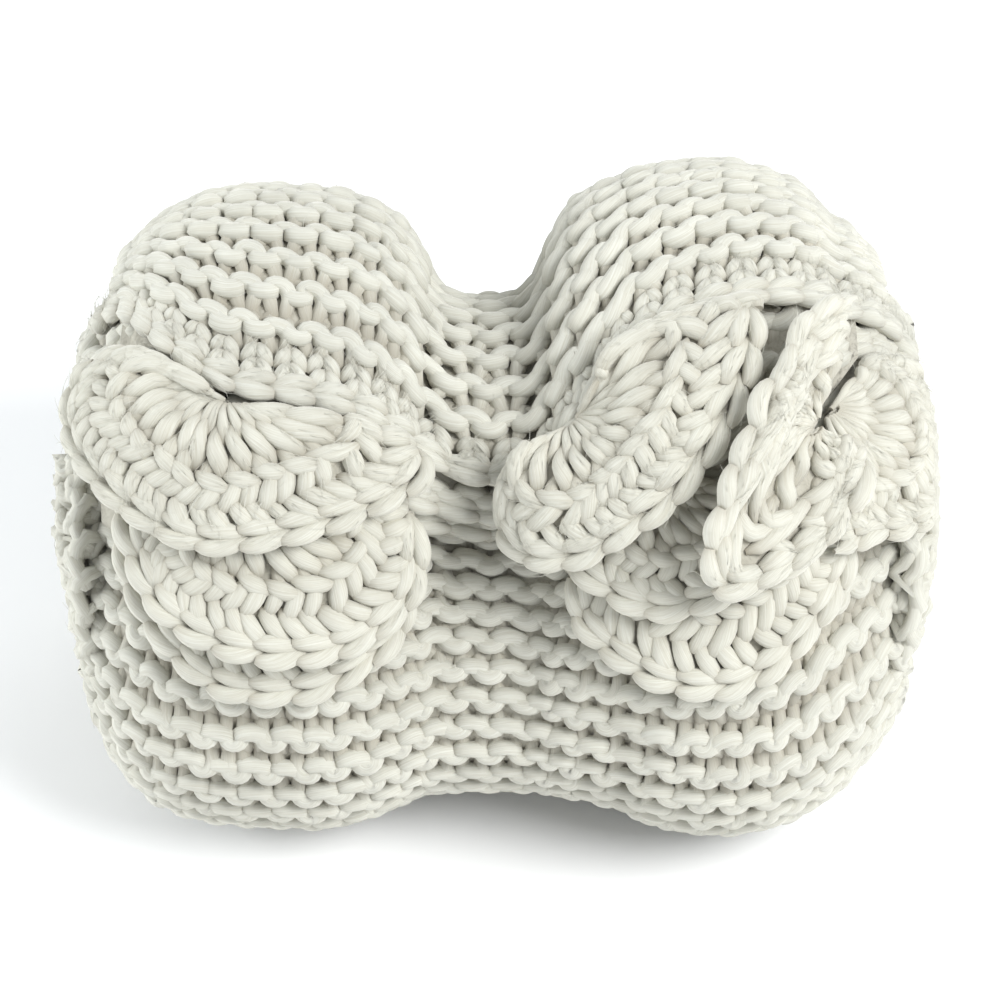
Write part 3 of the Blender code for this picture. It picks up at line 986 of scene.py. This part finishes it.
def wound_cloth(material):
    """The throw itself as one sheet, folded in thirds and rolled up, just under its yarn. Each row
    of its points goes to and fro across the thirds, so many degrees back from the outer end."""
    crest_left, crest_right = float(run_at(CLOTH_CRESTS[0])), float(run_at(CLOTH_CRESTS[1]))
    turns = np.arange(0, 360 * TURNS, CLOTH_STEP)
    shares = np.linspace(-1, 1, CLOTH_PASS)
    path = [(0, s) for s in shares] + [(0.5, 1.0)] + [(1, s) for s in shares[::-1]]
    path += [(1.5, -1.0)] + [(2, s) for s in shares]
    path = np.array(path)
    back, third = np.meshgrid(turns, path[:, 0], indexing="ij")
    across = np.broadcast_to(path[:, 1], back.shape)
    nominal = EDGE_MIDDLE - 3.0 - back

    # The first turn takes up the step at the outer end, and the others follow the spiral
    outermost = back < STEP_BACK
    first = LAYERS * LAYER * fading(nominal) * (back > 180)
    later = LAYERS * LAYER + WOUND_PITCH * (back - 360) / 360
    top = np.where(outermost, first, later)
    strip = np.where(outermost, LAYER, WOUND_PITCH / LAYERS)
    depth = top + COVER + third * strip

    # The folds lie a little way in from the roll's two ends
    share = np.clip(1 - depth / TOP_RADIUS, 0.05, 1)
    mean = curve(RUNS, (RISES + FALLS) / 2, FINE_RUNS)
    left = FINE_RUNS < crest_left
    right = FINE_RUNS > crest_right
    inset = FOLD_INSET + INNER_INSET * eased(back, 250, 330)
    low = np.interp(share, mean[left] / mean[left][-1], FINE_X[left]) + inset
    high = np.interp(share, (mean[right] / mean[right][0])[::-1], FINE_X[right][::-1]) - inset
    fold = np.abs(third - np.round(third)) > 0.1
    x = low + (high - low) * (across + 1) / 2 + fold * np.sign(across) * FOLD_REACH

    run = np.interp(x, FINE_X, FINE_RUNS)
    ends = np.array([edge(name, run) for name in THIRDS])
    end = np.take_along_axis(ends, np.rint(third).astype(int)[None], 0)[0]
    turn = nominal + eased(nominal, RELAXED, EDGE_MIDDLE) * (end - EDGE_MIDDLE)
    _, radius = outline(np.clip(run, crest_left, crest_right), turn)
    deep = depth * (1 + (radius / TOP_RADIUS - 1) * eased(depth, 0.05, 0.1))

    # Where the outline falls away towards an end, the sheet stays under the yarn there
    steep = (outline(run + MM, turn)[1] - outline(run - MM, turn)[1]) / (2 * MM)
    under = COVER * np.clip(1 / np.sqrt(np.maximum(1 - steep * steep, 0.2)), 1, 2)
    skin = outline(run, turn)[1] - np.where(outermost, top, 0) - under
    points = place(x, np.minimum(radius - deep, skin), turn)
    points[..., 2] = np.maximum(points[..., 2], CLOTH_THICKNESS)
    return grid_piece("throw_cloth", points, CLOTH_THICKNESS, material)


def fan_size(points):
    """The size and area of a scallop's sheet when it lies flat, from its rows of points."""
    reach = np.sum(np.linalg.norm(np.diff(points, axis=1), axis=2), axis=1)
    rim = np.linalg.norm(np.diff(points[:, -1], axis=0), axis=1)
    middle = (reach[1:] + reach[:-1]) / 2
    ray = np.concatenate([[0], np.cumsum(rim / middle)])
    flat = np.vstack([reach * np.cos(ray), reach * np.sin(ray)]).T
    flat = np.vstack([flat, [[0, 0]]])
    return tuple(float(side) for side in np.ptp(flat, axis=0)), float(np.sum(rim * middle) / 2)


def scallop_cloth(name, form, material):
    """A thin sheet under one scallop's stitches."""
    surface, low, high, _, step = scallop(**form)
    inset = SHEET_INSET * step
    rays = np.linspace(low + inset, high - inset, 41)
    shares = np.linspace(*SHEET_REACH, 9)
    points = surface(rays[:, None], shares[None, :], SHEET_LEVEL)
    return grid_piece(name + "_cloth", points, SHEET_THICKNESS, material), fan_size(points)


# Materials


def added(tree, kind, **values):
    """A new shader node, with values for its inputs by name, with _ for a space."""
    made = tree.nodes.new("ShaderNode" + kind)
    for name, value in values.items():
        made.inputs[name.replace("_", " ")].default_value = value
    return made


def blended(tree, factor, a, b):
    """The mix of two colours, each a colour or another node's output."""
    mix = tree.nodes.new("ShaderNodeMix")
    mix.data_type = "RGBA"
    tree.links.new(factor, mix.inputs["Factor"])
    for name, colour in (("A", a), ("B", b)):
        if isinstance(colour, bpy.types.NodeSocket):
            tree.links.new(colour, mix.inputs[name])
        else:
            mix.inputs[name].default_value = (*colour, 1)
    return mix.outputs["Result"]


def noise(tree, where, **values):
    """A noise read at the places that another node puts out."""
    texture = added(tree, "TexNoise", **values)
    tree.links.new(where, texture.inputs["Vector"])
    return texture.outputs["Fac"]


def bumped(tree, height, **values):
    """Gives the tree's shader a bump with that height."""
    bump = added(tree, "Bump", **values)
    tree.links.new(height, bump.inputs["Height"])
    tree.links.new(bump.outputs["Normal"], tree.nodes["Principled BSDF"].inputs["Normal"])


def fibre_group():
    """Fine fibres that run along a strand and wind round it: their colour mask and their height."""
    group = bpy.data.node_groups.new("Fibres", "ShaderNodeTree")
    for name, way, default in (("Twist", "INPUT", 55.0), ("Fineness", "INPUT", 5.0),
                               ("Mask", "OUTPUT", 0.0), ("Height", "OUTPUT", 0.0)):
        made = group.interface.new_socket(name=name, in_out=way, socket_type="NodeSocketFloat")
        made.default_value = default
    nodes, links = group.nodes, group.links
    entry, leave = nodes.new("NodeGroupInput"), nodes.new("NodeGroupOutput")
    uv = nodes.new("ShaderNodeUVMap")
    uv.uv_map = "UVMap"
    split = nodes.new("ShaderNodeSeparateXYZ")
    links.new(uv.outputs[0], split.inputs[0])
    length, share_round = split.outputs[0], split.outputs[1]

    def math(kind, *values):
        made = nodes.new("ShaderNodeMath")
        made.operation = kind
        for k, value in enumerate(values):
            if isinstance(value, (int, float)):
                made.inputs[k].default_value = value
            else:
                links.new(value, made.inputs[k])
        return made.outputs[0]

    # A place on a ring that turns with the twist and moves on along the strand
    around = math("MULTIPLY", share_round, 2 * np.pi)
    angle = math("ADD", around, math("MULTIPLY", length, entry.outputs["Twist"]))
    ring = nodes.new("ShaderNodeCombineXYZ")
    links.new(math("MULTIPLY", math("COSINE", angle), entry.outputs["Fineness"]), ring.inputs[0])
    links.new(math("MULTIPLY", math("SINE", angle), entry.outputs["Fineness"]), ring.inputs[1])
    links.new(math("MULTIPLY", length, 34.0), ring.inputs[2])
    fine = noise(group, ring.outputs[0], Scale=1.6, Detail=4.0, Roughness=0.72)
    coarse = noise(group, ring.outputs[0], Scale=0.62, Detail=1.5)
    lines = added(group, "MapRange", From_Min=0.30, From_Max=0.68)
    links.new(fine, lines.inputs["Value"])
    links.new(lines.outputs["Result"], leave.inputs["Mask"])
    both = math("ADD", math("MULTIPLY", fine, 0.6), math("MULTIPLY", coarse, 0.8))
    links.new(both, leave.inputs["Height"])
    return group


FIBRES = fibre_group()


def yarn_material(name, tint):
    """Undyed soft-twisted yarn, darker where its piece says that a strand is tucked in."""
    material = bpy.data.materials.new(name)
    material.use_nodes = True
    tree = material.node_tree
    nodes, links = tree.nodes, tree.links
    shader = nodes["Principled BSDF"]
    shader.inputs["Roughness"].default_value = 0.88
    shader.inputs["Specular IOR Level"].default_value = 0.18
    shader.inputs["Sheen Weight"].default_value = 0.35
    shader.inputs["Sheen Roughness"].default_value = 0.5
    shader.inputs["Sheen Tint"].default_value = (*SHEEN_TINT, 1)
    fibres = nodes.new("ShaderNodeGroup")
    fibres.node_tree = FIBRES
    shade = [c * t for c, t in zip(YARN_SHADE, tint)]
    light = [c * t for c, t in zip(YARN_LIGHT, tint)]
    yarn = blended(tree, fibres.outputs["Mask"], shade, light)
    tucked = nodes.new("ShaderNodeAttribute")
    tucked.attribute_name = "tucked"
    amount = nodes.new("ShaderNodeMath")
    amount.operation = "MULTIPLY"
    amount.use_clamp = True
    amount.inputs[1].default_value = CREASE_STRENGTH
    links.new(tucked.outputs["Fac"], amount.inputs[0])
    creased = blended(tree, amount.outputs[0], yarn, CREASE)
    where = nodes.new("ShaderNodeTexCoord")
    patches = added(tree, "MapRange", From_Min=0.3, From_Max=0.7, To_Min=0.93, To_Max=1.05)
    links.new(noise(tree, where.outputs["Object"], Scale=38.0, Detail=2.0), patches.inputs["Value"])
    tone = nodes.new("ShaderNodeHueSaturation")
    links.new(creased, tone.inputs["Color"])
    links.new(patches.outputs["Result"], tone.inputs["Value"])
    links.new(tone.outputs["Color"], shader.inputs["Base Color"])
    bumped(tree, fibres.outputs["Height"], Strength=0.3, Distance=0.0008)
    return material


def plain_material(name, colour, roughness):
    """One colour all over."""
    material = bpy.data.materials.new(name)
    material.use_nodes = True
    shader = material.node_tree.nodes["Principled BSDF"]
    shader.inputs["Base Color"].default_value = (*colour, 1)
    shader.inputs["Roughness"].default_value = roughness
    return material


def backing_material():
    """The yarn deep in the cloth, darker than the yarn on top as painted shade, with a soft mottling."""
    material = plain_material("backing", BACKING, 0.95)
    tree = material.node_tree
    where = tree.nodes.new("ShaderNodeTexCoord")
    mottle = noise(tree, where.outputs["Object"], Scale=260.0)
    colour = blended(tree, mottle, *BACKING_SHADES)
    tree.links.new(colour, tree.nodes["Principled BSDF"].inputs["Base Color"])
    bumped(tree, mottle, Distance=0.002)
    return material


def settle(piece, node):
    """Places a finished piece in the part."""
    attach(piece, "root")
    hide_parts(node)
    return piece


def dress():
    """The whole throw."""
    knit = yarn_material("knit_yarn", (1, 1, 1))
    worked = yarn_material("crochet_yarn", CROCHET_TINT)
    backing = backing_material()
    yarns = knit_outside() + [knit_steps(), knit_end(-1, "knit_end_left"), knit_end(1, "knit_end_right")]
    yarns += [cast_off(name) for name in THIRDS]
    knitted = [settle(yarn.build(knit), "throw_roll") for yarn in yarns]
    throw = settle(wound_cloth(backing), "throw_roll")
    for name, form in SCALLOPS.items():
        yarn = crochet(name, form)
        yarns.append(yarn)
        stitches = settle(yarn.build(worked, ROUND_SIDES), name)
        sheet, (size, area) = scallop_cloth(name, form, backing)
        settle(sheet, name)
    fluff = loose_fibres(yarns)
    knitted.append(settle(fluff.build(knit, FIBRE_SIDES), "throw_roll"))


# Studio


def area_light(name, position, size, power, colour):
    """A soft round light that shines at the roll."""
    light = bpy.data.lights.new(name, "AREA")
    light.shape = "DISK"
    light.size = size
    light.energy = power
    light.color = colour
    lamp = bpy.data.objects.new(name, light)
    bpy.context.scene.collection.objects.link(lamp)
    lamp.location = position
    lamp.rotation_euler = (Vector(CENTRE) - Vector(position)).to_track_quat("-Z", "Y").to_euler()


def studio():
    """A pale floor, soft light, and the camera, which looks down at the front of the roll."""
    scene = bpy.context.scene
    bpy.ops.mesh.primitive_plane_add(size=12, location=(0, 0, 0))
    floor = bpy.context.active_object
    floor.name = "floor"
    floor.data.materials.append(plain_material("floor", FLOOR, 0.9))
    for name, light in LIGHTS.items():
        area_light(name, *light)
    world = bpy.data.worlds.new("studio")
    world.use_nodes = True
    world.node_tree.nodes["Background"].inputs["Color"].default_value = (*SKY, 1)
    world.node_tree.nodes["Background"].inputs["Strength"].default_value = 0.6
    scene.world = world
    scene.cycles.max_bounces = 5
    scene.cycles.diffuse_bounces = 3
    scene.view_settings.view_transform = "Standard"
    scene.view_settings.look = "None"
    camera = bpy.data.cameras.new("camera")
    holder = bpy.data.objects.new("camera", camera)
    scene.collection.objects.link(holder)
    target = Vector((0, CENTRE[1], CENTRE[2]))
    away = Vector(FRONT)
    holder.location = target + away * DISTANCE
    holder.rotation_euler = (-away).to_track_quat("-Z", "Y").to_euler()
    camera.sensor_width = SENSOR
    camera.lens = SENSOR * DISTANCE / VIEW_WIDTH
    scene.camera = holder


dress()
studio()
